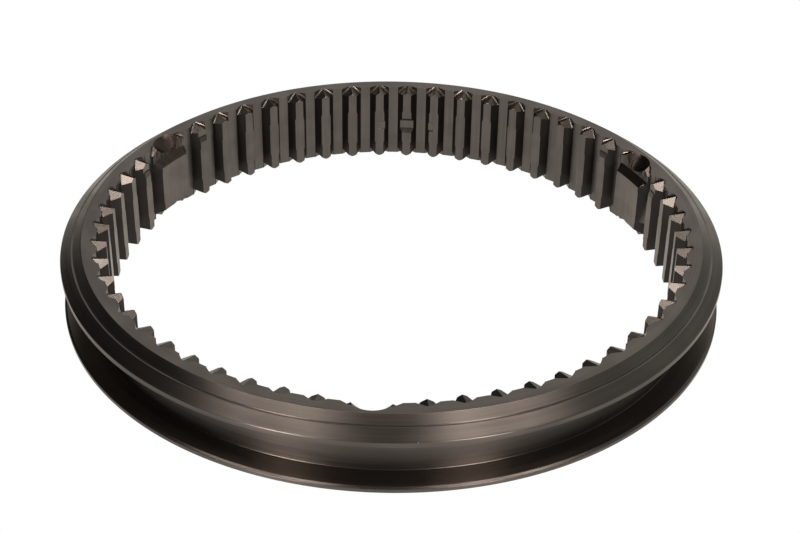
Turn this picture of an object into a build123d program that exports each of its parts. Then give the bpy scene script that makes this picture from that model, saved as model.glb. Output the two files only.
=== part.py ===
from build123d import *
import math
import os

# Sliding sleeve of a synchronizer, made from one steel ring.
# The outside is turned, with a groove for the shift fork between two rims.
# The inside is a broached spline whose teeth end in points at both faces.
# The origin is the centre of the lower face, and +Z runs up the ring's axis.
# The upper face is the one with the two cones in steps.

# Turned outside, each radius counted inwards from the rims
RIM_RADIUS = 82.5          # both rims beside the fork groove
RING_HEIGHT = 21.3         # lower face to upper face
CONE_SLOPE = 36.5          # cones on both sides, degrees below level
UPPER_CONE_HEIGHT = 3.75   # upper face down to the upper rim
LOWER_CONE_HEIGHT = 3.75   # lower face up to the lower rim
LEDGE_INSET = 2.7          # rims in to the ledge between the upper cones
LEDGE_WIDTH = 0.5
LEDGE_DROP = 0.38          # small wall behind the ledge
EDGE_BEVEL = 0.3           # broken outer edge of the upper face

# Fork groove, between the two rims
UPPER_RIM_WIDTH = 1.25
LOWER_RIM_WIDTH = 0.95
GROOVE_DEPTH = 6.1         # rims in to the groove's floor
GROOVE_MOUTH_WIDTH = 0.6   # bevel between each wall and its rim, radial
GROOVE_MOUTH_HEIGHT = 0.33  # the same bevel, along the axis

# Internal spline
PLACES = 57                # tooth places all round
SECTORS = 3                # the layout repeats in three sectors
RING_WALL = 9.0            # rims in to the bottom of the tooth spaces
TOOTH_DEPTH = 2.5          # bottom of a space to the bore over the teeth
SPACE_FLOOR_WIDTH = 2.26   # flat bottom of a space, at full tooth width
FLANK_ANGLE = 30.0         # each flank, measured in its space
TIP_FLAT_DEPTH = 0.02      # each tip is a flat this far outside the bore
LEAD_IN_DEPTH = 0.45       # bevel at both ends of each tooth's tip, radial
LEAD_IN_HEIGHT = 0.85      # the same bevel, along the axis

# Back taper of the flanks
TAPER_DROP = 1.0           # middle of the taper, below the groove's middle
FULL_HALF_LENGTH = 3.6     # full tooth width on each side of the middle
TAPER_STEP_LENGTH = 0.9    # short step from full width into the taper
TAPER_DEEP_RELIEF = 0.27   # taken off each flank where the tooth is thinnest
TAPER_END_RELIEF = 0.09    # taken off each flank at the faces

# Tooth points
POINT_SLOPE = 35.0         # both roof facets of a point, degrees from level
POINT_APEX_DEPTH = 1.7     # ridge's end in the face, outside the spaces
POINT_CORNER_INSET = 0.2   # ends of the wall behind the facets, inside the spaces
POINT_OVERLAP = 0.18       # how far the facets run past a tooth's root
POINT_RIDGE_DROP = 0.05    # ridge below the face

# Ball detent across the middle tooth of each sector
DETENT_DEPTH = 1.1         # below the tooth's tip
DETENT_FLOOR_WIDTH = 2.3
DETENT_WALL_SLOPE = 48.0   # walls, degrees from the tooth's length
DETENT_CUTTER_RADIUS = 25.0  # wide enough to graze the teeth on both sides
DETENT_DROP = 0.3          # detent's middle, below the groove's middle

# Wide lands with a pocket at both ends, one in each sector
POCKET_CENTRE_INSET = 0.5  # pocket's centre inside the bore
POCKET_RIM_RADIUS = 5.8
POCKET_HALF_ANGLE = 45.0
RECESS_DEPTH = 0.6         # tips beside and on the land are cut back by this
RECESS_HEIGHT = 4.4
RECESS_PLACES = 4          # tooth places that the cut back covers

CLEAR = 1.0                # how far cutters run past what they cut
FIRST_DETENT_ANGLE = 90.0  # first detent tooth, at the back of the ring

PITCH = 360.0 / PLACES
SECTOR_PLACES = PLACES // SECTORS
ROOT_RADIUS = RIM_RADIUS - RING_WALL
TIP_RADIUS = ROOT_RADIUS - TOOTH_DEPTH
UPPER_GROOVE_EDGE = RING_HEIGHT - UPPER_CONE_HEIGHT - UPPER_RIM_WIDTH
LOWER_GROOVE_EDGE = LOWER_CONE_HEIGHT + LOWER_RIM_WIDTH
GROOVE_CENTRE = (UPPER_GROOVE_EDGE + LOWER_GROOVE_EDGE) / 2


def slope(angle):
    """Rise over run of an angle in degrees."""
    return math.tan(math.radians(angle))


def outer_points():
    """Section of the outside as (radius, height), from the top down."""
    cone = slope(CONE_SLOPE)
    ledge_radius = RIM_RADIUS - LEDGE_INSET
    ledge_start = ledge_radius - LEDGE_WIDTH
    rim_top = RING_HEIGHT - UPPER_CONE_HEIGHT
    ledge_height = rim_top + LEDGE_INSET * cone
    face_radius = ledge_start - (RING_HEIGHT - ledge_height - LEDGE_DROP) / cone
    mouth_radius = RIM_RADIUS - GROOVE_MOUTH_WIDTH
    floor_radius = RIM_RADIUS - GROOVE_DEPTH
    upper_wall = UPPER_GROOVE_EDGE - GROOVE_MOUTH_HEIGHT
    lower_wall = LOWER_GROOVE_EDGE + GROOVE_MOUTH_HEIGHT
    return [
        (face_radius, RING_HEIGHT),
        (ledge_start, ledge_height + LEDGE_DROP),
        (ledge_start, ledge_height),
        (ledge_radius, ledge_height),
        (RIM_RADIUS, rim_top),
        (RIM_RADIUS, UPPER_GROOVE_EDGE),
        (mouth_radius, upper_wall),
        (floor_radius, upper_wall),
        (floor_radius, lower_wall),
        (mouth_radius, lower_wall),
        (RIM_RADIUS, LOWER_GROOVE_EDGE),
        (RIM_RADIUS, LOWER_CONE_HEIGHT),
        (RIM_RADIUS - LOWER_CONE_HEIGHT / cone, 0),
    ]


def turned_ring():
    """The blank as it leaves the lathe, revolved from its section."""
    outer = outer_points()
    bore = [(TIP_RADIUS, 0), (TIP_RADIUS, RING_HEIGHT)]
    section = make_face(Polyline(*(outer + bore), close=True))
    radius, height = outer[0]
    face_edge = section.vertices().sort_by_distance((radius, height, 0))[0]
    section = chamfer([face_edge], EDGE_BEVEL)
    return revolve(Plane.XZ * section, Axis.Z)


def flank_side():
    """What lies on the open side of one flank, with its back taper, drawn along the tooth."""
    middle = GROOVE_CENTRE - TAPER_DROP
    full = FULL_HALF_LENGTH
    deep = FULL_HALF_LENGTH + TAPER_STEP_LENGTH
    square = math.cos(math.radians(FLANK_ANGLE))
    along = math.sin(math.radians(FLANK_ANGLE))
    reach = 2 * (ROOT_RADIUS - TIP_RADIUS + CLEAR)
    outline = Polyline(
        (-2 * reach, -CLEAR),
        (TAPER_END_RELIEF * square, -CLEAR),
        (TAPER_DEEP_RELIEF * square, middle - deep),
        (0, middle - full),
        (0, middle + full),
        (TAPER_DEEP_RELIEF * square, middle + deep),
        (TAPER_END_RELIEF * square, RING_HEIGHT + CLEAR),
        (-2 * reach, RING_HEIGHT + CLEAR),
        close=True,
    )
    start = (ROOT_RADIUS, SPACE_FLOOR_WIDTH / 2, 0)
    flank = Plane(origin=start, x_dir=(along, square, 0), z_dir=(square, -along, 0))
    return extrude(flank * make_face(outline), reach, both=True)


def space_cutter():
    """Cutter for one tooth space: both flank sides, as far out as the root."""
    inside = TIP_RADIUS - CLEAR
    depth = ROOT_RADIUS - inside
    side = flank_side()
    middle = ((inside + ROOT_RADIUS) / 2, 0, RING_HEIGHT / 2)
    slab = Pos(*middle) * Box(depth, 4 * depth, RING_HEIGHT + 2 * CLEAR)
    return slab & side & mirror(side, Plane.XZ)


def tip_cutter():
    """Cutter that planes one tooth's tip flat, with a bevel at both ends."""
    inside = TIP_RADIUS - CLEAR
    flat = TIP_RADIUS + TIP_FLAT_DEPTH
    mouth = flat + (LEAD_IN_HEIGHT + CLEAR) * LEAD_IN_DEPTH / LEAD_IN_HEIGHT
    outline = Polyline(
        (inside, -CLEAR),
        (mouth, -CLEAR),
        (flat, LEAD_IN_HEIGHT),
        (flat, RING_HEIGHT - LEAD_IN_HEIGHT),
        (mouth, RING_HEIGHT + CLEAR),
        (inside, RING_HEIGHT + CLEAR),
        close=True,
    )
    return extrude(Plane.XZ * make_face(outline), ROOT_RADIUS - TIP_RADIUS, both=True)


def point_cutter():
    """Cutter that leaves one tooth pointed at the upper face."""
    tooth_half = (math.radians(PITCH) * ROOT_RADIUS - SPACE_FLOOR_WIDTH) / 2
    half = tooth_half + POINT_OVERLAP
    eave = half + CLEAR
    ridge = RING_HEIGHT - POINT_RIDGE_DROP
    apex = ROOT_RADIUS + POINT_APEX_DEPTH
    corner = ROOT_RADIUS - POINT_CORNER_INSET
    inside = TIP_RADIUS - CLEAR
    plan = Polyline(
        (inside, half),
        (corner, half),
        (apex, 0),
        (corner, -half),
        (inside, -half),
        close=True,
    )
    roof = Polyline(
        (0, ridge),
        (eave, ridge - eave * slope(POINT_SLOPE)),
        (eave, RING_HEIGHT + CLEAR),
        (-eave, RING_HEIGHT + CLEAR),
        (-eave, ridge - eave * slope(POINT_SLOPE)),
        close=True,
    )
    block = Plane.XY * extrude(make_face(plan), RING_HEIGHT + CLEAR)
    return block & extrude(Plane.YZ * make_face(roof), apex + CLEAR)


def detent_cutter():
    """Round cutter whose bevelled rim mills the detent across a tooth."""
    centre = TIP_RADIUS + DETENT_DEPTH - DETENT_CUTTER_RADIUS
    floor_half = DETENT_FLOOR_WIDTH / 2
    wall_run = 3 * DETENT_DEPTH
    wall_half = floor_half + wall_run * slope(DETENT_WALL_SLOPE)
    outline = Polyline(
        (0, wall_half),
        (DETENT_CUTTER_RADIUS - wall_run, wall_half),
        (DETENT_CUTTER_RADIUS, floor_half),
        (DETENT_CUTTER_RADIUS, -floor_half),
        (DETENT_CUTTER_RADIUS - wall_run, -wall_half),
        (0, -wall_half),
        close=True,
    )
    disc = revolve(Plane.XZ * make_face(outline), Axis.Z)
    return Pos(centre, 0, GROOVE_CENTRE - DETENT_DROP) * disc


def pocket_cutter():
    """Countersink that opens a wide land at the upper face."""
    depth = POCKET_RIM_RADIUS / slope(POCKET_HALF_ANGLE)
    outline = Polyline(
        (0, -depth),
        (POCKET_RIM_RADIUS + CLEAR * slope(POCKET_HALF_ANGLE), CLEAR),
        (0, CLEAR),
        close=True,
    )
    sink = revolve(Plane.XZ * make_face(outline), Axis.Z)
    return Pos(TIP_RADIUS - POCKET_CENTRE_INSET, 0, RING_HEIGHT) * sink


def recess_cutter():
    """Cut that sets the tips back at the upper end of a wide land."""
    inside = TIP_RADIUS - CLEAR
    back = TIP_RADIUS + RECESS_DEPTH
    floor = RING_HEIGHT - RECESS_HEIGHT
    top = RING_HEIGHT + CLEAR
    outline = Polyline((inside, floor), (back, floor), (back, top), (inside, top), close=True)
    span = RECESS_PLACES * PITCH
    sweep = revolve(Plane.XZ * make_face(outline), Axis.Z, revolution_arc=span)
    return Rot(0, 0, -span / 2) * sweep


def flipped(cutter):
    """The same cutter turned over, for the lower face."""
    turned = Rot(180, 0, 0) * cutter
    return Pos(0, 0, RING_HEIGHT) * turned


def at_place(cutter, place):
    """The cutter turned to a tooth place, counted from the first detent tooth."""
    return Rot(0, 0, FIRST_DETENT_ANGLE + place * PITCH) * cutter


def spline_cutters():
    """Every cutter of the spline, its points, detents and pockets."""
    space = space_cutter()
    tip = tip_cutter()
    point = point_cutter()
    detent = detent_cutter()
    points = [point, flipped(point)]
    ends = [pocket_cutter(), recess_cutter()]
    ends = ends + [flipped(cutter) for cutter in ends]
    before_land = SECTOR_PLACES // 2
    cutters = []
    for place in range(PLACES):
        if place % SECTOR_PLACES != before_land:
            cutters.append(at_place(space, place + 0.5))
        if place % SECTOR_PLACES not in (before_land, before_land + 1):
            cutters.append(at_place(tip, place))
        cutters = cutters + [at_place(cutter, place) for cutter in points]
    for sector in range(SECTORS):
        first = sector * SECTOR_PLACES
        cutters.append(at_place(detent, first))
        land = first + SECTOR_PLACES / 2
        cutters = cutters + [at_place(cutter, land) for cutter in ends]
    return cutters


def sliding_sleeve():
    """The finished sleeve as one solid."""
    sleeve = turned_ring() - spline_cutters()
    return sleeve


def main():
    """Build the sleeve and write it as one STEP file."""
    os.makedirs("parts", exist_ok=True)
    sleeve = sliding_sleeve()
    sleeve.label = "sliding_sleeve"
    export_step(sleeve, "parts/sliding_sleeve.step")


main()
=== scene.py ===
"""Steel shift sleeve of a synchronizer on a white studio floor.

The ring is built tooth by tooth. Each tooth is a wedge of the turned blank, cut like the real
one is: two broached spaces, a planed tip, a pointed end at each face, and where they belong the
ball detent or the wide land's pocket. All wedges are then joined into one closed mesh.
Lengths inside the classes are millimetres, and the finished mesh is scaled to metres.
"""

import logging
import math
from dataclasses import dataclass, field
from enum import Enum

import bmesh
import bpy
from mathutils import Matrix, Vector

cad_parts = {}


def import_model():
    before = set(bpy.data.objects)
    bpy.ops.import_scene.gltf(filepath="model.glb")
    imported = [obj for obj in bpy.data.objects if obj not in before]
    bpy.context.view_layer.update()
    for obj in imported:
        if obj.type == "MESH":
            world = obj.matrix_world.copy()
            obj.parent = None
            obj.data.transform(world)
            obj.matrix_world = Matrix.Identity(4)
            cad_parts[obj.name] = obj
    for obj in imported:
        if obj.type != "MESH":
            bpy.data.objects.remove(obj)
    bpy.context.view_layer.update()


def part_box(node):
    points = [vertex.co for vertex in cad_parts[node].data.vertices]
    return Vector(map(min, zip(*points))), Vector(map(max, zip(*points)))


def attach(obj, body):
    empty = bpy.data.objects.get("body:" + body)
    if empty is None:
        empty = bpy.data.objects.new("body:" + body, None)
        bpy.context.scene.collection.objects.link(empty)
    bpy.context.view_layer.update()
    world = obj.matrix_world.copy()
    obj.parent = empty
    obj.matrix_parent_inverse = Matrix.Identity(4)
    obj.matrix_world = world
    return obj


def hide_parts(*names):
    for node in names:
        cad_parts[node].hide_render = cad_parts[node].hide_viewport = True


LOG = logging.getLogger("shift_sleeve")

MM = 0.001
NODE = "sliding_sleeve"
BODY = "root"
PHOTO_WIDTH = 800

Socket = bpy.types.NodeSocket
Pair = tuple[float, float]
Triple = tuple[float, float, float]
Stop = tuple[float, float, float, float]


class Tool(Enum):
    """The cutters that shape the teeth and lands."""

    SPACE = "space"
    TIP = "tip"
    POINT = "point"
    LOWER_POINT = "lower_point"
    DETENT = "detent"
    RECESS = "recess"
    LAND = "land"
    LOWER_LAND = "lower_land"
    POCKET = "pocket"
    LOWER_POCKET = "lower_pocket"


class Blend(Enum):
    """How one colour is laid over another."""

    MIX = "MIX"
    MULTIPLY = "MULTIPLY"


def rise(degrees: float) -> float:
    """Return the rise over run of a slope given in degrees."""
    return math.tan(math.radians(degrees))


def polar(radius: float, degrees: float, height: float) -> Vector:
    """Return the point at a radius, an azimuth and a height.

    Args:
        radius: Distance from the ring's axis.
        degrees: Azimuth from +X, towards +Y.
        height: Height above the lower face.

    Returns:
        The point as a vector.
    """
    angle = math.radians(degrees)
    return Vector((radius * math.cos(angle), radius * math.sin(angle), height))


@dataclass(frozen=True)
class RingSizes:
    """Sizes that every sub-assembly shares, the outer two read from the frame."""

    rim_radius: float
    height: float
    places: int = 57
    sectors: int = 3
    ring_wall: float = 9.0
    tooth_depth: float = 2.5
    first_detent_angle: float = 90.0
    clear: float = 1.0

    @classmethod
    def from_frame(cls) -> "RingSizes":
        """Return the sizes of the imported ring."""
        low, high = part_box(NODE)
        return cls(rim_radius=(high.x - low.x) / 2 / MM, height=(high.z - low.z) / MM)

    @property
    def pitch(self) -> float:
        """Angle of one tooth place in degrees."""
        return 360.0 / self.places

    @property
    def sector_places(self) -> int:
        """Tooth places in one sector."""
        return self.places // self.sectors

    @property
    def root_radius(self) -> float:
        """Radius at the bottom of the tooth spaces."""
        return self.rim_radius - self.ring_wall

    @property
    def tip_radius(self) -> float:
        """Radius of the bore over the teeth."""
        return self.root_radius - self.tooth_depth


class Solid:
    """A closed mesh under construction, with the boolean cuts made on it."""

    def __init__(self, name: str, shape: bmesh.types.BMesh) -> None:
        """Keep the shape as a Blender object.

        Args:
            name: Name of the object and its mesh.
            shape: The shape, which is freed here.
        """
        mesh = bpy.data.meshes.new(name)
        bmesh.ops.recalc_face_normals(shape, faces=shape.faces)
        shape.to_mesh(mesh)
        shape.free()
        self.object = bpy.data.objects.new(name, mesh)
        bpy.context.scene.collection.objects.link(self.object)

    def cut(self, cutter: "Solid") -> None:
        """Subtract another solid from this one.

        Args:
            cutter: The solid to take away, which stays as it is.
        """
        tool = self.object.modifiers.new("cut", "BOOLEAN")
        tool.operation = "DIFFERENCE"
        tool.solver = "EXACT"
        tool.object = cutter.object
        graph = bpy.context.evaluated_depsgraph_get()
        result = bpy.data.meshes.new_from_object(self.object.evaluated_get(graph))
        self.object.modifiers.clear()
        old = self.object.data
        self.object.data = result
        bpy.data.meshes.remove(old)

    def shape(self) -> bmesh.types.BMesh:
        """Return the present shape as a new BMesh."""
        shape = bmesh.new()
        shape.from_mesh(self.object.data)
        return shape

    def place(self, matrix: Matrix) -> "Solid":
        """Set the object's place and return the solid."""
        self.object.matrix_world = matrix
        return self

    def discard(self) -> None:
        """Remove the object and its mesh."""
        mesh = self.object.data
        bpy.data.objects.remove(self.object)
        bpy.data.meshes.remove(mesh)


def lofted(levels: list[list[Vector]]) -> bmesh.types.BMesh:
    """Return a closed shape through polygons that have the same number of corners.

    Args:
        levels: The polygons in order, each a list of corners.

    Returns:
        The shape, with a flat cap at both ends.
    """
    shape = bmesh.new()
    rings = [[shape.verts.new(corner) for corner in level] for level in levels]
    count = len(rings[0])
    for low, high in zip(rings, rings[1:]):
        for index in range(count):
            after = (index + 1) % count
            shape.faces.new((low[index], low[after], high[after], high[index]))
    shape.faces.new(list(reversed(rings[0])))
    shape.faces.new(rings[-1])
    return shape


def swept(outline: list[Pair], span: float, steps: int) -> bmesh.types.BMesh:
    """Return the closed shape that an outline leaves when it turns about the ring's axis.

    Args:
        outline: Corners as (radius, height).
        span: Angle of the turn in degrees, centred on azimuth 0.
        steps: Number of equal steps in the turn.

    Returns:
        The shape, with a flat cap at both ends.
    """
    levels = []
    for step in range(steps + 1):
        degrees = span * (step / steps - 0.5)
        levels.append([polar(radius, degrees, height) for radius, height in outline])
    return lofted(levels)


def round_tool(outline: list[Pair], centre: float, steps: int) -> bmesh.types.BMesh:
    """Return a round closed shape about an upright axis that crosses azimuth 0.

    Args:
        outline: Its circles as (radius, height), in order.
        centre: Distance of its axis from the ring's own.
        steps: Corners of each circle.

    Returns:
        The shape, with a flat cap at both ends.
    """
    offset = Vector((centre, 0, 0))
    levels = []
    for radius, height in outline:
        circle = [polar(radius, 360.0 * step / steps, height) for step in range(steps)]
        levels.append([point + offset for point in circle])
    return lofted(levels)


def round_edges(
    shape: bmesh.types.BMesh, edges: list[bmesh.types.BMEdge], width: float, segments: int
) -> None:
    """Round some edges of a shape, less where there is no room.

    Args:
        shape: The shape, changed in place.
        edges: Edges to round.
        width: Width of the rounding on each side.
        segments: Number of flat strips in it.
    """
    bmesh.ops.bevel(
        shape,
        geom=edges,
        offset=width,
        segments=segments,
        profile=0.5,
        affect="EDGES",
        clamp_overlap=True,
    )


@dataclass
class TurnedBlank:
    """The lathe-turned ring: two stepped cones, two rims and the fork groove."""

    sizes: RingSizes
    cone_slope: float = 36.5
    upper_cone_height: float = 3.75
    lower_cone_height: float = 3.75
    ledge_inset: float = 2.7
    ledge_width: float = 0.5
    ledge_drop: float = 0.2
    upper_rim_width: float = 1.25
    lower_rim_width: float = 0.95
    groove_depth: float = 6.1
    mouth_width: float = 0.6
    mouth_height: float = 0.33
    edge_round: float = 0.28
    ledge_round: float = 0.16
    ledge_foot_round: float = 0.04
    corner_round: float = 0.22
    mouth_round: float = 0.1
    arc_steps: int = 3
    steps_per_place: int = 12

    @property
    def upper_groove_edge(self) -> float:
        """Height where the upper rim ends and the groove starts."""
        return self.sizes.height - self.upper_cone_height - self.upper_rim_width

    @property
    def lower_groove_edge(self) -> float:
        """Height where the lower rim ends and the groove starts."""
        return self.lower_cone_height + self.lower_rim_width

    @property
    def groove_centre(self) -> float:
        """Height of the groove's middle."""
        return (self.upper_groove_edge + self.lower_groove_edge) / 2

    @property
    def face_radius(self) -> float:
        """Outer edge of the flat upper face."""
        cone = rise(self.cone_slope)
        start = self.sizes.rim_radius - self.ledge_inset - self.ledge_width
        drop = self.upper_cone_height - self.ledge_inset * cone
        return start - (drop - self.ledge_drop) / cone

    def corners(self) -> list[Triple]:
        """Return the section's corners as (radius, height, rounding), from the top down."""
        height = self.sizes.height
        rim = self.sizes.rim_radius
        cone = rise(self.cone_slope)
        ledge_end = rim - self.ledge_inset
        ledge_start = ledge_end - self.ledge_width
        rim_top = height - self.upper_cone_height
        ledge = rim_top + self.ledge_inset * cone
        mouth = rim - self.mouth_width
        floor = rim - self.groove_depth
        upper_wall = self.upper_groove_edge - self.mouth_height
        lower_wall = self.lower_groove_edge + self.mouth_height
        edge, lip = self.edge_round, self.mouth_round
        return [
            (self.face_radius, height, edge),
            (ledge_start, ledge + self.ledge_drop, self.ledge_round),
            (ledge_start, ledge, self.ledge_foot_round),
            (ledge_end, ledge, self.ledge_round),
            (rim, rim_top, edge),
            (rim, self.upper_groove_edge, lip),
            (mouth, upper_wall, lip),
            (floor, upper_wall, self.corner_round),
            (floor, lower_wall, self.corner_round),
            (mouth, lower_wall, lip),
            (rim, self.lower_groove_edge, lip),
            (rim, self.lower_cone_height, edge),
            (rim - self.lower_cone_height / cone, 0.0, edge),
        ]

    def section(self) -> list[Pair]:
        """Return the section's outline as (radius, height), with every corner rounded."""
        inner = self.sizes.tip_radius
        corners = self.corners()
        points = [(inner, self.sizes.height)]
        ends = [(inner, self.sizes.height, 0.0)] + corners + [(inner, 0.0, 0.0)]
        for before, corner, after in zip(ends, corners, ends[2:]):
            points += self.rounded(before, corner, after)
        points.append((inner, 0.0))
        return points

    def rounded(self, before: Triple, corner: Triple, after: Triple) -> list[Pair]:
        """Return the points of one rounded corner.

        Args:
            before: Corner before this one.
            corner: Corner to round, with its radius as the third value.
            after: Corner after this one.

        Returns:
            Points of an arc that is tangent to both sides.
        """
        here = Vector(corner[:2])
        back = (Vector(before[:2]) - here).normalized()
        ahead = (Vector(after[:2]) - here).normalized()
        half = back.angle(ahead) / 2
        reach = corner[2] / math.tan(half)
        centre = here + (back + ahead).normalized() * corner[2] / math.sin(half)
        start = here + back * reach - centre
        turn = start.angle_signed(here + ahead * reach - centre)
        points = []
        for step in range(self.arc_steps + 1):
            angle = -turn * step / self.arc_steps
            cosine, sine = math.cos(angle), math.sin(angle)
            x = start.x * cosine - start.y * sine
            y = start.x * sine + start.y * cosine
            points.append((centre.x + x, centre.y + y))
        return points

    def wedge(self, span: int) -> Solid:
        """Return the part of the blank that some tooth places take up.

        Args:
            span: How many places the wedge covers, centred on azimuth 0.

        Returns:
            The wedge as a closed solid with flat side walls.
        """
        steps = span * self.steps_per_place
        return Solid("blank_wedge", swept(self.section(), span * self.sizes.pitch, steps))


@dataclass
class ToothSpace:
    """One broached space, with the back taper of the flanks beside it."""

    sizes: RingSizes
    groove_centre: float
    floor_width: float = 2.64
    flank_angle: float = 26.5
    taper_drop: float = 0.75
    full_half_length: float = 4.4
    taper_step_length: float = 0.9
    relief: float = 0.22
    upright: float = 0.001

    def reliefs(self) -> list[Pair]:
        """Return (height, relief of each flank at the tip), from the lower face up."""
        full = self.full_half_length
        deep = full + self.taper_step_length
        middle = self.groove_centre - self.taper_drop
        clear = self.sizes.clear
        return [
            (-clear, self.relief),
            (middle - deep, self.relief),
            (middle - full, 0.0),
            (middle + full, 0.0),
            (middle + deep, self.relief),
            (self.sizes.height + clear, self.relief),
        ]

    def cutter(self) -> Solid:
        """Return the cutter of one space, centred on azimuth 0."""
        inside = self.sizes.tip_radius - self.sizes.clear
        root = self.sizes.root_radius
        levels = []
        narrow = self.floor_width / 2
        for height, relief in self.reliefs():
            lean = rise(self.flank_angle) + relief / self.sizes.tooth_depth
            wide = narrow + (root - inside) * lean
            levels.append([
                Vector((inside, -wide, height)),
                Vector((root, -narrow, height)),
                Vector((root, narrow, height)),
                Vector((inside, wide, height)),
            ])
        shape = lofted(levels)
        tilt = self.upright
        bent = [face for face in shape.faces if tilt < abs(face.normal.z) < 1 - tilt]
        bmesh.ops.triangulate(shape, faces=bent)
        return Solid("space_cutter", shape)


@dataclass
class ToothEnds:
    """The planed tip of a tooth and its two pointed ends."""

    sizes: RingSizes
    tip_flat: float = 0.02
    lead_in_depth: float = 0.2
    lead_in_height: float = 1.08
    slope: float = 29.0
    ridge_slope: float = 8.5
    lower_slope: float = 32.0
    lower_ridge_slope: float = 0.5
    lower_ridge_round: float = 0.55
    apex_depth: float = 1.7
    corner_inset: float = 0.0
    half_width: float = 2.65
    ridge_drop: float = 0.05
    foot_round: float = 0.5
    round_segments: int = 3

    def tip_cutter(self) -> Solid:
        """Return the cutter that planes one tip, with a bevel at both ends."""
        inside = self.sizes.tip_radius - self.sizes.clear
        flat = self.sizes.tip_radius + self.tip_flat
        lean = self.lead_in_depth / self.lead_in_height
        mouth = flat + (self.lead_in_height + self.sizes.clear) * lean
        low, high = -self.sizes.clear, self.sizes.height + self.sizes.clear
        outline = [
            (inside, low),
            (mouth, low),
            (flat, self.lead_in_height),
            (flat, self.sizes.height - self.lead_in_height),
            (mouth, high),
            (inside, high),
        ]
        half = self.sizes.tooth_depth
        levels = [[Vector((x, side, z)) for x, z in outline] for side in (-half, half)]
        return Solid("tip_cutter", lofted(levels))

    def point_cutter(
        self, slope: float, ridge_slope: float, ridge_round: float = 0.0
    ) -> Solid:
        """Return the cutter that leaves a tooth pointed at the upper face.

        Args:
            slope: Fall of the two facets to the flanks, in degrees.
            ridge_slope: Fall of the ridge towards the ring's axis, in degrees.
            ridge_round: Rounding of the ridge, none if 0.

        Returns:
            The cutter, set on a tooth at azimuth 0.
        """
        root = self.sizes.root_radius
        half = self.half_width
        top = self.sizes.height + self.sizes.clear
        inside = self.sizes.tip_radius - self.sizes.clear
        corner = root - self.corner_inset
        apex = root + self.apex_depth

        def roof(radius: float, side: float) -> Vector:
            """Return the point of the tooth's two facets at a radius and a side offset."""
            fall = (apex - radius) * rise(ridge_slope) + abs(side) * rise(slope)
            return Vector((radius, side, self.sizes.height - self.ridge_drop - fall))

        shape = bmesh.new()
        front = [shape.verts.new(roof(inside, side)) for side in (-half, 0.0, half)]
        back = [
            shape.verts.new(roof(corner, -half)),
            shape.verts.new(roof(apex, 0.0)),
            shape.verts.new(roof(corner, half)),
        ]
        front_top = [shape.verts.new((v.co.x, v.co.y, top)) for v in front]
        back_top = [shape.verts.new((v.co.x, v.co.y, top)) for v in back]
        for side in (0, 1):
            shape.faces.new((front[side], front[side + 1], back[side + 1], back[side]))
            shape.faces.new(
                (back[side], back[side + 1], back_top[side + 1], back_top[side])
            )
        shape.faces.new((front[0], back[0], back_top[0], front_top[0]))
        shape.faces.new((front[2], back[2], back_top[2], front_top[2]))
        shape.faces.new(front + list(reversed(front_top)))
        shape.faces.new(front_top + list(reversed(back_top)))
        feet = [shape.edges.get((back[0], back[1])), shape.edges.get((back[1], back[2]))]
        bmesh.ops.recalc_face_normals(shape, faces=shape.faces)
        round_edges(shape, feet, self.foot_round, self.round_segments)
        if ridge_round:
            ridge = [edge for edge in shape.edges if self.on_ridge(edge)]
            round_edges(shape, ridge, ridge_round, self.round_segments)
        return Solid("point_cutter", shape)

    def on_ridge(self, edge: bmesh.types.BMEdge) -> bool:
        """Return whether an edge of the point cutter is its ridge.

        Args:
            edge: Edge of the cutter.

        Returns:
            True for the long edge in the tooth's middle, below the face.
        """
        first, last = (vert.co for vert in edge.verts)
        below = max(first.z, last.z) < self.sizes.height
        central = max(abs(first.y), abs(last.y)) < 0.001
        return below and central and abs(first.x - last.x) > self.sizes.clear


@dataclass
class BallDetent:
    """The notch that a round cutter mills across one tooth in each sector."""

    sizes: RingSizes
    groove_centre: float
    depth: float = 1.1
    floor_width: float = 2.3
    wall_slope: float = 48.0
    cutter_radius: float = 23.0
    drop: float = 0.3
    steps: int = 96

    def cutter(self) -> Solid:
        """Return the disc-shaped cutter, set against a tooth at azimuth 0."""
        centre = self.sizes.tip_radius + self.depth - self.cutter_radius
        middle = self.groove_centre - self.drop
        half = self.floor_width / 2
        run = 3 * self.depth
        wide = half + run * rise(self.wall_slope)
        outline = [
            (self.cutter_radius - run, middle - wide),
            (self.cutter_radius, middle - half),
            (self.cutter_radius, middle + half),
            (self.cutter_radius - run, middle + wide),
        ]
        return Solid("detent_cutter", round_tool(outline, centre, self.steps))


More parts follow.
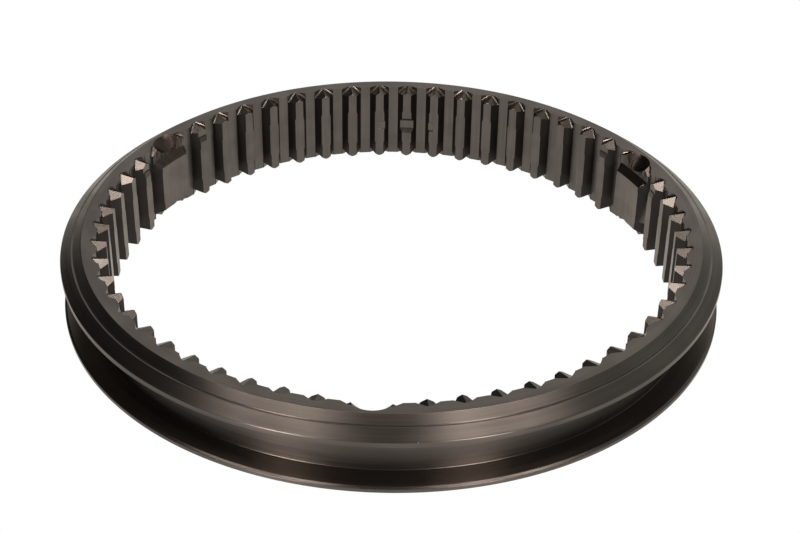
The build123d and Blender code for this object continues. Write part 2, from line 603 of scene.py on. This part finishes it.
@dataclass
class LandPocket:
    """The countersunk pocket and the set-back tips at the ends of a wide land."""

    sizes: RingSizes
    centre_inset: float = 0.5
    rim_radius: float = 5.8
    blunt_radius: float = 0.04
    half_angle: float = 45.0
    lower_half_angle: float = 60.0
    recess_depth: float = 0.6
    recess_height: float = 3.0
    recess_places: int = 4
    slope_height: float = 1.5
    step_width: float = 0.2
    land_places: float = 1.9
    land_depth: float = 2.0
    land_foot: float = 5.4
    land_wall_foot: float = 3.9
    lower_foot: float = 2.8
    lower_wall_foot: float = 1.8
    steps: int = 64

    def pocket_cutter(self, half_angle: float) -> Solid:
        """Return the countersink, set against a land at azimuth 0.

        Args:
            half_angle: Half of the countersink's angle in degrees.

        Returns:
            The cutter at the upper face.
        """
        clear = self.sizes.clear
        top = self.sizes.height
        depth = self.rim_radius / rise(half_angle)
        outline = [
            (self.blunt_radius, top - depth + self.blunt_radius),
            (self.rim_radius + clear * rise(half_angle), top + clear),
        ]
        centre = self.sizes.tip_radius - self.centre_inset
        return Solid("pocket_cutter", round_tool(outline, centre, self.steps))

    def land_cutter(self, foot: float, wall_foot: float) -> Solid:
        """Return the cut that takes the land's own end back, set against a land at azimuth 0.

        Args:
            foot: Depth below the face where the cut meets the land's bore.
            wall_foot: Depth below the face where the cut's wall ends.

        Returns:
            The cutter at the upper face.
        """
        inside = self.sizes.tip_radius - self.sizes.clear
        back = self.sizes.tip_radius + self.land_depth
        lean = (foot - wall_foot) / self.land_depth
        top = self.sizes.height
        outline = [
            (inside, top - foot - self.sizes.clear * lean),
            (back, top - wall_foot),
            (back, top + self.sizes.clear),
            (inside, top + self.sizes.clear),
        ]
        span = self.land_places * self.sizes.pitch
        return Solid("land_cutter", swept(outline, span, self.steps))

    def recess_cutter(self) -> Solid:
        """Return the cut that sets the tips back beside a land at azimuth 0."""
        inside = self.sizes.tip_radius - self.sizes.clear
        back = self.sizes.tip_radius + self.recess_depth
        floor = self.sizes.height - self.recess_height
        top = self.sizes.height + self.sizes.clear
        lean = self.slope_height / (self.recess_depth - self.step_width)
        low = floor - self.slope_height - self.sizes.clear * lean
        outline = [
            (inside, low),
            (back - self.step_width, floor),
            (back, floor),
            (back, top),
            (inside, top),
        ]
        span = self.recess_places * self.sizes.pitch
        return Solid("recess_cutter", swept(outline, span, self.steps))


@dataclass(frozen=True)
class Nick:
    """One small dent that the sleeve picked up in use."""

    radius: float
    azimuth: float
    height: float
    length: float
    width: float
    depth: float

    def cutter(self) -> Solid:
        """Return the rounded cutter of the dent."""
        shape = bmesh.new()
        bmesh.ops.create_icosphere(shape, subdivisions=2, radius=0.5)
        shape.transform(Matrix.Diagonal((self.depth, self.length, self.width, 1.0)))
        shape.transform(Matrix.Rotation(math.radians(self.azimuth), 4, "Z"))
        shape.transform(Matrix.Translation(polar(self.radius, self.azimuth, self.height)))
        return Solid("nick_cutter", shape)


@dataclass(frozen=True)
class NodeKit:
    """Short ways to add nodes to one tree."""

    tree: bpy.types.ShaderNodeTree

    def feed(self, target: Socket, value: Socket | Triple | float) -> None:
        """Link a socket to an input, or set the input to a constant.

        Args:
            target: Input to feed.
            value: Socket, colour or number.
        """
        if isinstance(value, float):
            target.default_value = value
        elif isinstance(value, tuple):
            target.default_value = (*value, 1.0)
        else:
            self.tree.links.new(value, target)

    def math(self, operation: str, first: Socket, second: Socket | float = 0.0) -> Socket:
        """Return the result of one math node.

        Args:
            operation: Name of the math operation.
            first: First value.
            second: Second value.

        Returns:
            The result socket.
        """
        node = self.tree.nodes.new("ShaderNodeMath")
        node.operation = operation
        self.feed(node.inputs[0], first)
        self.feed(node.inputs[1], second)
        return node.outputs[0]

    def vector(self, operation: str, *values: Socket | None) -> bpy.types.Node:
        """Return a vector math node.

        Args:
            operation: Name of the vector operation.
            values: Its vectors in order, None where an input isn't linked.

        Returns:
            The node.
        """
        node = self.tree.nodes.new("ShaderNodeVectorMath")
        node.operation = operation
        for target, value in zip(node.inputs, values):
            if value is not None:
                self.feed(target, value)
        return node

    def ranged(self, value: Socket, span: Pair, result: Pair = (0.0, 1.0)) -> Socket:
        """Return a value mapped from one range to another, clamped.

        Args:
            value: Value to map.
            span: Start and end of its range.
            result: Results at the start and the end.

        Returns:
            The result socket.
        """
        node = self.tree.nodes.new("ShaderNodeMapRange")
        for name, number in zip(("From Min", "From Max", "To Min", "To Max"), (*span, *result)):
            node.inputs[name].default_value = number
        self.feed(node.inputs["Value"], value)
        return node.outputs["Result"]

    def mixed(
        self,
        factor: Socket | float,
        first: Socket | Triple,
        second: Socket | Triple,
        blend: Blend = Blend.MIX,
    ) -> Socket:
        """Return two colours mixed.

        Args:
            factor: Share of the second colour.
            first: First colour.
            second: Second colour.
            blend: How the second is laid over the first.

        Returns:
            The colour socket.
        """
        node = self.tree.nodes.new("ShaderNodeMix")
        node.data_type = "RGBA"
        node.blend_type = blend.value
        self.feed(node.inputs["Factor"], factor)
        self.feed(node.inputs[6], first)
        self.feed(node.inputs[7], second)
        return node.outputs[2]

    def ramp(self, value: Socket, stops: tuple[Stop, ...]) -> Socket:
        """Return the colour of a ramp over one axis of the direction.

        Args:
            value: Axis value from -1 to 1.
            stops: Axis value and colour of each stop.

        Returns:
            The colour socket.
        """
        node = self.tree.nodes.new("ShaderNodeValToRGB")
        band = node.color_ramp
        band.interpolation = "EASE"
        while len(band.elements) < len(stops):
            band.elements.new(0.5)
        for element, (place, *colour) in zip(band.elements, stops):
            element.position = (place + 1) / 2
            element.color = (*colour, 1.0)
        self.feed(node.inputs["Fac"], self.ranged(value, (-1.0, 1.0)))
        return node.outputs["Color"]


@dataclass(frozen=True)
class RingSpot:
    """Where a shaded point lies on the ring, as sockets, with lengths in millimetres."""

    kit: NodeKit
    radius: Socket
    height: Socket
    around: Socket
    along: Socket
    facing: Socket

    @classmethod
    def from_nodes(cls, kit: NodeKit, spline_radius: float) -> "RingSpot":
        """Return the spot that is being shaded.

        Args:
            kit: Node maker of the material.
            spline_radius: Radius at which lengths around the ring are true.

        Returns:
            The spot, with the unit vector that runs around the ring there.
        """
        place = kit.tree.nodes.new("ShaderNodeTexCoord").outputs["Object"]
        facing = kit.tree.nodes.new("ShaderNodeNewGeometry").outputs["Normal"]
        axes = kit.tree.nodes.new("ShaderNodeSeparateXYZ")
        kit.feed(axes.inputs["Vector"], place)
        right, back, up = (axes.outputs[name] for name in "XYZ")
        squares = [kit.math("MULTIPLY", axis, axis) for axis in (right, back)]
        square = kit.math("ADD", *squares)
        angle = kit.math("ARCTAN2", back, right)
        cross = kit.vector("CROSS_PRODUCT", None, place)
        cross.inputs[0].default_value = (0.0, 0.0, 1.0)
        return cls(
            kit=kit,
            radius=kit.math("DIVIDE", kit.math("POWER", square, 0.5), MM),
            height=kit.math("DIVIDE", up, MM),
            around=kit.math("MULTIPLY", angle, spline_radius),
            along=kit.vector("NORMALIZE", cross.outputs["Vector"]).outputs["Vector"],
            facing=facing,
        )


@dataclass(frozen=True)
class SatinSteel:
    """Dark, slightly warm steel: turned outside, broached and rougher between the teeth, with
    painted shade on the tooth flanks and in the upper pockets.
    """

    face_height: float
    colour: Triple = (0.158, 0.138, 0.123)
    # Painted shade: the flanks' base colour is darkened for the shade between the teeth.
    flank_shade_colour: Triple = (0.050, 0.044, 0.039)
    # Painted shade: the upper pockets' base colour is darker and browner for the shade inside
    # them.
    pocket_shade_colour: Triple = (0.095, 0.075, 0.063)
    edge_tint: float = 0.75
    roughness: float = 0.30
    turned_roughness: float = 0.31
    dull_roughness: float = 0.45
    uneven_roughness: float = 0.02
    turned_stretch: float = 0.8
    quarter_turn: float = 0.25
    turned_edge: Pair = (75.2, 75.4)
    face_edge: Pair = (-0.04, -0.01)
    spline_radius: float = 73.0
    inner_edge: Pair = (73.9, 74.1)
    flank_edge: Pair = (0.6, 0.8)
    pocket_angle_edge: Pair = (0.966, 0.978)
    pocket_back_edge: Pair = (76.2, 76.4)
    pocket_top_edge: Pair = (-0.06, -0.02)
    pocket_foot_edge: Pair = (-5.6, -5.2)
    patch_density: Triple = (0.2, 0.2, 0.11)
    patch_edge: Pair = (0.40, 0.60)
    patch_tone: Pair = (0.95, 1.06)
    turned_density: Triple = (1.6, 1.6, 0.02)
    broached_density: Triple = (0.3, 0.05, 1.6)
    mark_tone: Pair = (0.90, 1.09)

    def material(self) -> bpy.types.Material:
        """Return the node material."""
        material = bpy.data.materials.new("sleeve_satin_steel")
        material.use_nodes = True
        kit = NodeKit(material.node_tree)
        inputs = kit.tree.nodes["Principled BSDF"].inputs
        inputs["Metallic"].default_value = 1.0
        inputs["Specular Tint"].default_value = (*(self.edge_tint,) * 3, 1.0)
        inputs["Anisotropic Rotation"].default_value = self.quarter_turn
        spot = RingSpot.from_nodes(kit, self.spline_radius)
        flank = self.flank_mask(spot)
        marks = self.marks(spot)
        patches = self.patches(spot)
        turned = self.turned_mask(spot)
        # Painted shade: the tooth flanks get a darker base colour; their higher roughness further
        # down is the broached finish.
        colour = kit.mixed(flank, self.colour, self.flank_shade_colour)
        # Painted shade: the upper pockets get a darker, browner base colour.
        painted_shade_colour = kit.mixed(self.pocket_mask(spot), colour, self.pocket_shade_colour)
        streaks = kit.ranged(marks, (0.25, 0.75), self.mark_tone)
        tone = kit.math("MULTIPLY", streaks, kit.ranged(patches, (0.0, 1.0), self.patch_tone))
        kit.feed(inputs["Base Color"], kit.mixed(1.0, painted_shade_colour, tone, Blend.MULTIPLY))
        stretch = kit.ranged(turned, (0.0, 1.0), (0.0, self.turned_stretch))
        kit.feed(inputs["Anisotropic"], stretch)
        kit.feed(inputs["Tangent"], spot.along)
        uneven = self.uneven_roughness
        rough = kit.ranged(turned, (0.0, 1.0), (self.roughness, self.turned_roughness))
        for extra in (
            kit.ranged(flank, (0.0, 1.0), (0.0, self.dull_roughness - self.roughness)),
            kit.ranged(patches, (0.0, 1.0), (uneven, -uneven)),
            kit.ranged(marks, (0.2, 0.8), (-uneven, uneven)),
        ):
            rough = kit.math("ADD", rough, extra)
        kit.feed(inputs["Roughness"], rough)
        return material

    def below_face(self, spot: RingSpot, edge: Pair) -> Socket:
        """Return 1 below a blend near the upper face, and 0 above it.

        Args:
            spot: The shaded point.
            edge: Heights of the blend, counted from the face.

        Returns:
            The mask socket.
        """
        span = (self.face_height + edge[0], self.face_height + edge[1])
        return spot.kit.ranged(spot.height, span, (1.0, 0.0))

    def turned_mask(self, spot: RingSpot) -> Socket:
        """Return 1 on what is turned in rings, outside and below the face, and 0 elsewhere."""
        outside = spot.kit.ranged(spot.radius, self.turned_edge)
        return spot.kit.math("MULTIPLY", outside, self.below_face(spot, self.face_edge))

    def flank_mask(self, spot: RingSpot) -> Socket:
        """Return 1 on tooth flanks, which face along the ring, and 0 elsewhere.

        Args:
            spot: The shaded point.

        Returns:
            The mask socket.
        """
        kit = spot.kit
        dot = kit.vector("DOT_PRODUCT", spot.along, spot.facing).outputs["Value"]
        sideways = kit.ranged(kit.math("ABSOLUTE", dot), self.flank_edge)
        inside = kit.ranged(spot.radius, self.inner_edge, (1.0, 0.0))
        return kit.math("MULTIPLY", sideways, inside)

    def pocket_mask(self, spot: RingSpot) -> Socket:
        """Return 1 inside the three upper pockets, where shade is painted darker and browner, and
        0 elsewhere.

        Args:
            spot: The shaded point.

        Returns:
            The mask socket.
        """
        kit = spot.kit
        thrice = kit.math("MULTIPLY", spot.around, 3.0 / self.spline_radius)
        near = kit.ranged(kit.math("SINE", thrice), self.pocket_angle_edge)
        inside = kit.ranged(spot.radius, self.pocket_back_edge, (1.0, 0.0))
        below = self.below_face(spot, self.pocket_top_edge)
        low, high = self.pocket_foot_edge
        above = kit.ranged(spot.height, (self.face_height + low, self.face_height + high))
        deep = kit.math("MULTIPLY", below, above)
        return kit.math("MULTIPLY", kit.math("MULTIPLY", near, inside), deep)

    def patches(self, spot: RingSpot) -> Socket:
        """Return faint patches of handling stain, 0 or 1 with a short blend."""
        return spot.kit.ranged(self.noise(spot, self.patch_density, 0.0), self.patch_edge)

    def marks(self, spot: RingSpot) -> Socket:
        """Return fine marks: rings on turned surfaces, upright streaks on the spline.

        Args:
            spot: The shaded point.

        Returns:
            The noise socket.
        """
        kit = spot.kit
        both = kit.tree.nodes.new("ShaderNodeMix")
        inside = kit.ranged(spot.radius, self.inner_edge, (1.0, 0.0))
        kit.feed(both.inputs["Factor"], inside)
        kit.feed(both.inputs[2], self.noise(spot, self.turned_density))
        kit.feed(both.inputs[3], self.noise(spot, self.broached_density))
        return both.outputs[0]

    def noise(self, spot: RingSpot, density: Triple, detail: float = 1.0) -> Socket:
        """Return noise in ring coordinates.

        Args:
            spot: The shaded point.
            density: Features per millimetre along radius, height and length around.
            detail: Octaves of finer noise.

        Returns:
            The noise socket.
        """
        kit = spot.kit
        lengths = (spot.radius, spot.height, spot.around)
        joined = kit.tree.nodes.new("ShaderNodeCombineXYZ")
        for name, length, count in zip("XYZ", lengths, density):
            kit.feed(joined.inputs[name], kit.math("MULTIPLY", length, count))
        noise = kit.tree.nodes.new("ShaderNodeTexNoise")
        noise.inputs["Scale"].default_value = 1.0
        noise.inputs["Detail"].default_value = detail
        kit.feed(noise.inputs["Vector"], joined.outputs["Vector"])
        return noise.outputs["Fac"]


@dataclass
class ShiftSleeve:
    """The whole sleeve: every tooth wedge, cut and joined."""

    sizes: RingSizes
    finish: SatinSteel
    edge_break: float = 0.09
    break_segments: int = 2
    break_angle: float = 12.0
    flat_angle: float = 0.1
    smooth_angle: float = 50.0
    face_weight: int = 50
    merge_distance: float = 0.002
    seam_distance: float = 0.02
    level_tolerance: float = 1e-7
    root_margin: float = 0.1
    nicks: tuple[Nick, ...] = (
        Nick(82.55, -82.72, 17.5, 0.8, 0.6, 0.7),
        Nick(79.05, -81.4, 4.95, 0.5, 0.5, 0.5),
        Nick(79.3, -160.3, 4.97, 1.4, 0.25, 0.3),
    )
    blank: TurnedBlank = field(init=False)
    space: ToothSpace = field(init=False)
    ends: ToothEnds = field(init=False)
    detent: BallDetent = field(init=False)
    pocket: LandPocket = field(init=False)
    tools: dict[Tool, Solid] = field(init=False, default_factory=dict)

    def __post_init__(self) -> None:
        """Make the sub-assemblies that share the ring's sizes."""
        self.blank = TurnedBlank(self.sizes)
        self.space = ToothSpace(self.sizes, self.blank.groove_centre)
        self.ends = ToothEnds(self.sizes)
        self.detent = BallDetent(self.sizes, self.blank.groove_centre)
        self.pocket = LandPocket(self.sizes)

    def flipped(self) -> Matrix:
        """Return the matrix that turns an upper cutter to the lower face."""
        return Matrix.Translation((0, 0, self.sizes.height)) @ Matrix.Rotation(math.pi, 4, "X")

    def turned(self, places: float) -> Matrix:
        """Return the rotation by some tooth places about the ring's axis."""
        return Matrix.Rotation(math.radians(places * self.sizes.pitch), 4, "Z")

    def make_tools(self) -> None:
        """Make every cutter, set against a tooth or land at azimuth 0."""
        ends, pocket = self.ends, self.pocket
        self.tools = {
            Tool.SPACE: self.space.cutter(),
            Tool.TIP: ends.tip_cutter(),
            Tool.POINT: ends.point_cutter(ends.slope, ends.ridge_slope),
            Tool.LOWER_POINT: ends.point_cutter(
                ends.lower_slope, ends.lower_ridge_slope, ends.lower_ridge_round
            ),
            Tool.DETENT: self.detent.cutter(),
            Tool.RECESS: pocket.recess_cutter(),
            Tool.LAND: pocket.land_cutter(pocket.land_foot, pocket.land_wall_foot),
            Tool.LOWER_LAND: pocket.land_cutter(pocket.lower_foot, pocket.lower_wall_foot),
            Tool.POCKET: pocket.pocket_cutter(pocket.half_angle),
            Tool.LOWER_POCKET: pocket.pocket_cutter(pocket.lower_half_angle),
        }

    def cell(self, first: int, span: int) -> bmesh.types.BMesh:
        """Return the finished mesh of one tooth, or of the two that a land joins.

        Args:
            first: First tooth place, counted from a detent tooth.
            span: How many places it covers.

        Returns:
            The mesh about azimuth 0, open at its two sides.
        """
        cell = self.blank.wedge(span)
        middle = first + (span - 1) / 2
        half = span / 2
        per_sector = self.sizes.sector_places
        for side in (-half, half):
            cell.cut(self.tools[Tool.SPACE].place(self.turned(side)))
        if span == 1:
            cell.cut(self.tools[Tool.TIP].place(Matrix.Identity(4)))
        for place in range(first, first + span):
            turn = self.turned(place - middle)
            cell.cut(self.tools[Tool.POINT].place(turn))
            cell.cut(self.tools[Tool.LOWER_POINT].place(turn @ self.flipped()))
        nearest_detent = round(middle / per_sector) * per_sector
        if abs(nearest_detent - middle) <= 1:
            cell.cut(self.tools[Tool.DETENT].place(self.turned(nearest_detent - middle)))
        nearest_land = (math.floor(middle / per_sector) + 0.5) * per_sector
        if abs(nearest_land - middle) < 2:
            turn = self.turned(nearest_land - middle)
            cell.cut(self.tools[Tool.RECESS].place(turn))
            if span > 1:
                for tool in (Tool.LAND, Tool.POCKET):
                    cell.cut(self.tools[tool].place(turn))
                for tool in (Tool.LOWER_LAND, Tool.LOWER_POCKET):
                    cell.cut(self.tools[tool].place(turn @ self.flipped()))
        shape = cell.shape()
        cell.discard()
        self.break_edges(shape, span)
        return shape

    def break_edges(self, shape: bmesh.types.BMesh, span: int) -> None:
        """Break the spline's sharp edges and open the wedge's side walls.

        Args:
            shape: Mesh of one cell, changed in place.
            span: How many places it covers.
        """
        half = math.radians(span * self.sizes.pitch / 2)
        bmesh.ops.remove_doubles(shape, verts=shape.verts, dist=self.merge_distance / 2)
        bmesh.ops.dissolve_degenerate(shape, edges=shape.edges, dist=self.merge_distance / 2)
        bmesh.ops.dissolve_limit(
            shape,
            angle_limit=math.radians(self.flat_angle),
            verts=shape.verts,
            edges=shape.edges,
            use_dissolve_boundaries=False,
        )

        def on_side(vert: bmesh.types.BMVert) -> bool:
            """Return whether a point lies on one of the wedge's side walls."""
            angle = abs(math.atan2(vert.co.y, vert.co.x))
            return abs(angle - half) * vert.co.x < self.merge_distance

        sharp = []
        limit = self.blank.face_radius - 2 * self.blank.edge_round
        groove_low, groove_high = self.blank.lower_groove_edge, self.blank.upper_groove_edge
        groove_reach = self.sizes.root_radius + self.sizes.clear
        for edge in shape.edges:
            if all(on_side(vert) for vert in edge.verts) or not edge.is_manifold:
                continue
            reach = max(vert.co.xy.length for vert in edge.verts)
            in_groove = groove_low < edge.verts[0].co.z < groove_high
            if reach > limit or (reach > groove_reach and in_groove):
                continue
            if edge.calc_face_angle() > math.radians(self.break_angle):
                sharp.append(edge)
        round_edges(shape, sharp, self.edge_break, self.break_segments)
        walls = [face for face in shape.faces if all(on_side(vert) for vert in face.verts)]
        bmesh.ops.delete(shape, geom=walls, context="FACES")

    def joined_cells(self) -> bmesh.types.BMesh:
        """Return every cell of the ring in its place, not yet joined.

        Returns:
            One mesh with all of them.
        """
        joined = bmesh.new()
        start = Matrix.Rotation(math.radians(self.sizes.first_detent_angle), 4, "Z")
        before_land = self.sizes.sector_places // 2
        place = 0
        while place < self.sizes.sector_places:
            span = 2 if place == before_land else 1
            cell = self.cell(place, span)
            for sector in range(self.sizes.sectors):
                turn = place + (span - 1) / 2 + sector * self.sizes.sector_places
                copy = cell.copy()
                copy.transform(start @ self.turned(turn))
                part = bpy.data.meshes.new("cell")
                copy.to_mesh(part)
                copy.free()
                joined.from_mesh(part)
                bpy.data.meshes.remove(part)
            cell.free()
            place += span
        return joined

    def close_seams(self, joined: bmesh.types.BMesh) -> None:
        """Join the cells to one closed mesh.

        Args:
            joined: Mesh with all cells, changed in place.
        """
        bmesh.ops.remove_doubles(joined, verts=joined.verts, dist=self.merge_distance)
        seam = [vert for vert in joined.verts if vert.is_boundary]
        bmesh.ops.remove_doubles(joined, verts=seam, dist=self.seam_distance)
        for vert in seam:
            for level in (0.0, self.sizes.height):
                if vert.is_valid and abs(vert.co.z - level) < self.seam_distance:
                    vert.co.z = level
        open_edges = sum(1 for edge in joined.edges if not edge.is_manifold)
        LOG.info("sleeve joined: %d faces, %d open edges", len(joined.faces), open_edges)

    def build(self) -> bpy.types.Object:
        """Build, join and dress the sleeve, and set it on its body.

        Returns:
            The finished object.
        """
        self.make_tools()
        joined = self.joined_cells()
        for tool in self.tools.values():
            tool.discard()
        self.close_seams(joined)
        whole = Solid("shift_sleeve", joined)
        for nick in self.nicks:
            cutter = nick.cutter()
            whole.cut(cutter)
            cutter.discard()
        sleeve = whole.object
        sleeve.data.transform(Matrix.Scale(MM, 4))
        self.dress(sleeve)
        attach(sleeve, BODY)
        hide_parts(NODE)
        return sleeve

    def keep_bore_crisp(self, mesh: bpy.types.Mesh) -> None:
        """Mark the bore's edges at both faces as sharp, so that the faces shade flat.

        Args:
            mesh: The finished mesh, in metres.
        """
        levels = (0.0, self.sizes.height * MM)
        reach = (self.sizes.root_radius + self.root_margin) * MM
        for edge in mesh.edges:
            ends = [mesh.vertices[index].co for index in edge.vertices]
            on_face = any(
                all(abs(end.z - level) < self.level_tolerance for end in ends) for level in levels
            )
            if on_face and max(end.xy.length for end in ends) < reach:
                edge.use_edge_sharp = True

    def dress(self, sleeve: bpy.types.Object) -> None:
        """Shade the mesh and give it its finish.

        Args:
            sleeve: The finished object.
        """
        mesh = sleeve.data
        mesh.polygons.foreach_set("use_smooth", [True] * len(mesh.polygons))
        mesh.set_sharp_from_angle(angle=math.radians(self.smooth_angle))
        self.keep_bore_crisp(mesh)
        tool = sleeve.modifiers.new("weighted", "WEIGHTED_NORMAL")
        tool.keep_sharp = True
        tool.weight = self.face_weight
        graph = bpy.context.evaluated_depsgraph_get()
        weighted = bpy.data.meshes.new_from_object(sleeve.evaluated_get(graph))
        sleeve.modifiers.clear()
        sleeve.data = weighted
        bpy.data.meshes.remove(mesh)
        weighted.name = "shift_sleeve"
        weighted.materials.clear()
        weighted.materials.append(self.finish.material())


@dataclass(frozen=True)
class PhotoCamera:
    """The camera, solved from the ring's edges, in rim radii from the upper face's centre."""

    side: float = 0.02582
    distance: float = 4.32141
    height: float = 2.68221
    elevation: float = 33.348
    roll: float = 0.938
    turn: float = 2.719
    focal_pixels: float = 1670.99

    def build(self, sizes: RingSizes) -> bpy.types.Object:
        """Set up the camera and make it the scene's own.

        Args:
            sizes: Sizes of the ring that the camera was solved on.

        Returns:
            The camera object.
        """
        data = bpy.data.cameras.new("photo_camera")
        data.sensor_fit = "HORIZONTAL"
        data.sensor_width = 36.0
        data.lens = 36.0 * self.focal_pixels / PHOTO_WIDTH
        data.clip_start = 0.01
        data.clip_end = 100.0
        camera = bpy.data.objects.new("photo_camera", data)
        bpy.context.scene.collection.objects.link(camera)
        rim = sizes.rim_radius * MM
        spot = Vector((self.side, -self.distance, self.height)) * rim
        upper_face = Matrix.Translation((0, 0, sizes.height * MM))
        turn = Matrix.Rotation(math.radians(self.turn), 4, "Z")
        tilt = Matrix.Rotation(math.radians(90 - self.elevation), 4, "X")
        roll = Matrix.Rotation(math.radians(self.roll), 4, "Z")
        camera.matrix_world = upper_face @ turn @ Matrix.Translation(spot) @ tilt @ roll
        bpy.context.scene.camera = camera
        return camera


@dataclass(frozen=True)
class SoftLight:
    """What every soft light has: a name, a radiance and a slightly warm colour."""

    name: str
    radiance: float
    colour: Triple

    def lamp(self, wide: float, tall: float) -> bpy.types.Object:
        """Return an area lamp of even radiance that the camera doesn't see.

        Args:
            wide: Its width in metres.
            tall: Its other side in metres.

        Returns:
            The lamp, at the origin and facing down.
        """
        data = bpy.data.lights.new(self.name, "AREA")
        data.shape = "RECTANGLE"
        data.size, data.size_y = wide, tall
        data.energy = self.radiance * math.pi * data.size * data.size_y
        data.color = self.colour
        lamp = bpy.data.objects.new(self.name, data)
        bpy.context.scene.collection.objects.link(lamp)
        lamp.visible_camera = False
        return lamp


@dataclass(frozen=True)
class Panel:
    """One soft light in the ceiling, facing straight down, with sizes in metres."""

    light: SoftLight
    right: float
    back: float
    width: float
    depth: float
    ceiling: float = 1.0

    def build(self) -> bpy.types.Object:
        """Return the light as an area lamp."""
        lamp = self.light.lamp(self.width, self.depth)
        lamp.location = (self.right, self.back, self.ceiling)
        return lamp


@dataclass(frozen=True)
class SoftBox:
    """One soft light on a stand, aimed at the ring, with angles in degrees."""

    light: SoftLight
    azimuth: float
    elevation: float
    wide: float
    tall: float
    distance: float = 1.5

    def build(self) -> bpy.types.Object:
        """Return the light as an area lamp, its azimuth counted to the right from the front.

        Returns:
            The lamp.
        """
        wide, tall = (2 * self.distance * rise(angle / 2) for angle in (self.wide, self.tall))
        lamp = self.light.lamp(wide, tall)
        flat = self.distance * math.cos(math.radians(self.elevation))
        height = self.distance * math.sin(math.radians(self.elevation))
        lamp.location = polar(flat, self.azimuth - 90.0, height)
        lamp.rotation_euler = lamp.location.to_track_quat("Z", "Y").to_euler()
        return lamp


@dataclass
class Studio:
    """White floor and dome, and the soft lights."""

    lights: tuple[Panel | SoftBox, ...]
    dome_radius: float = 6.0
    horizon: Pair = (-0.06, 0.02)
    sky: tuple[Stop, ...] = (
        (0.0, 0.30, 0.30, 0.30),
        (0.3, 0.66, 0.66, 0.66),
        (0.52, 0.80, 0.80, 0.80),
        (0.66, 0.60, 0.59, 0.58),
        (0.85, 0.27, 0.26, 0.24),
        (1.0, 0.22, 0.21, 0.19),
    )
    ground: tuple[Stop, ...] = (
        (-1.0, 0.62, 0.61, 0.60),
        (0.0, 0.72, 0.71, 0.70),
        (1.0, 1.20, 1.15, 1.04),
    )
    depth: tuple[Stop, ...] = (
        (-1.0, 0.28, 0.28, 0.28),
        (-0.35, 0.38, 0.38, 0.38),
        (0.15, 1.0, 1.0, 1.0),
    )
    side: tuple[Stop, ...] = (
        (-1.0, 0.02, 0.02, 0.02),
        (-0.45, 0.05, 0.05, 0.05),
        (-0.2, 1.0, 1.0, 1.0),
        (0.3, 1.0, 1.0, 1.0),
        (0.7, 0.43, 0.45, 0.42),
    )

    def white(self) -> bpy.types.Material:
        """Return the evenly lit white of the floor and the dome."""
        material = bpy.data.materials.new("studio_white")
        material.use_nodes = True
        nodes = material.node_tree.nodes
        nodes.clear()
        glow = nodes.new("ShaderNodeEmission")
        glow.inputs["Color"].default_value = (1.0, 1.0, 1.0, 1.0)
        glow.inputs["Strength"].default_value = 1.0
        out = nodes.new("ShaderNodeOutputMaterial")
        material.node_tree.links.new(glow.outputs["Emission"], out.inputs["Surface"])
        return material

    def build(self) -> None:
        """Build the floor, the dome, the lights and the dim room around them."""
        white = self.white()
        shape = bmesh.new()
        bmesh.ops.create_circle(shape, cap_ends=True, segments=96, radius=self.dome_radius)
        floor = Solid("studio_floor", shape).object
        shape = bmesh.new()
        bmesh.ops.create_uvsphere(shape, u_segments=48, v_segments=24, radius=self.dome_radius)
        dome = Solid("studio_dome", shape).object
        for piece in (floor, dome):
            piece.data.materials.append(white)
            piece.visible_glossy = False
            piece.visible_diffuse = False
            piece.visible_shadow = False
            piece.visible_transmission = False
        for light in self.lights:
            light.build()
        self.room()
        bpy.context.scene.view_settings.view_transform = "Standard"

    def room(self) -> None:
        """Set the dim room that the steel reflects, by direction."""
        world = bpy.data.worlds.new("studio_room")
        bpy.context.scene.world = world
        world.use_nodes = True
        kit = NodeKit(world.node_tree)
        direction = kit.tree.nodes.new("ShaderNodeTexCoord").outputs["Generated"]
        axes = kit.tree.nodes.new("ShaderNodeSeparateXYZ")
        kit.feed(axes.inputs["Vector"], direction)
        right, back, up = (axes.outputs[name] for name in "XYZ")
        shaded = kit.ramp(up, self.sky)
        for shade in (kit.ramp(right, self.side), kit.ramp(back, self.depth)):
            shaded = kit.mixed(1.0, shaded, shade, Blend.MULTIPLY)
        above = kit.ranged(up, self.horizon)
        room = kit.mixed(above, kit.ramp(back, self.ground), shaded)
        kit.feed(kit.tree.nodes["Background"].inputs["Color"], room)


def studio_lights() -> tuple[Panel | SoftBox, ...]:
    """Return the studio's lights: four panels in the ceiling and two boxes on stands."""
    cool, warm = (1.0, 0.93, 0.89), (1.0, 0.90, 0.84)
    return (
        Panel(SoftLight("ceiling_left", 9.0, cool), -0.25, -0.045, 0.14, 0.42),
        Panel(SoftLight("ceiling_right", 10.0, cool), 0.24, -0.045, 0.14, 0.42),
        Panel(SoftLight("side_left", 5.5, cool), -0.49, -0.05, 0.22, 0.30),
        Panel(SoftLight("side_right", 5.5, cool), 0.49, -0.05, 0.22, 0.30),
        SoftBox(SoftLight("stand_left", 17.5, warm), -30.0, 9.0, 14.0, 22.0),
        SoftBox(SoftLight("stand_right", 14.0, warm), 30.0, 14.0, 14.0, 26.0),
    )


def main() -> None:
    """Build the sleeve, the camera and the studio in order."""
    logging.basicConfig(level=logging.INFO, format="%(name)s: %(message)s")
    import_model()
    sizes = RingSizes.from_frame()
    sleeve = ShiftSleeve(sizes, SatinSteel(sizes.height)).build()
    triangles = sum(len(face.vertices) - 2 for face in sleeve.data.polygons)
    LOG.info("%s: %d triangles", sleeve.name, triangles)
    camera = PhotoCamera().build(sizes)
    LOG.info("%s: %.1f mm lens", camera.name, camera.data.lens)
    studio = Studio(studio_lights())
    studio.build()
    LOG.info("studio: %d lights", len(studio.lights))


if __name__ == "__main__":
    main()
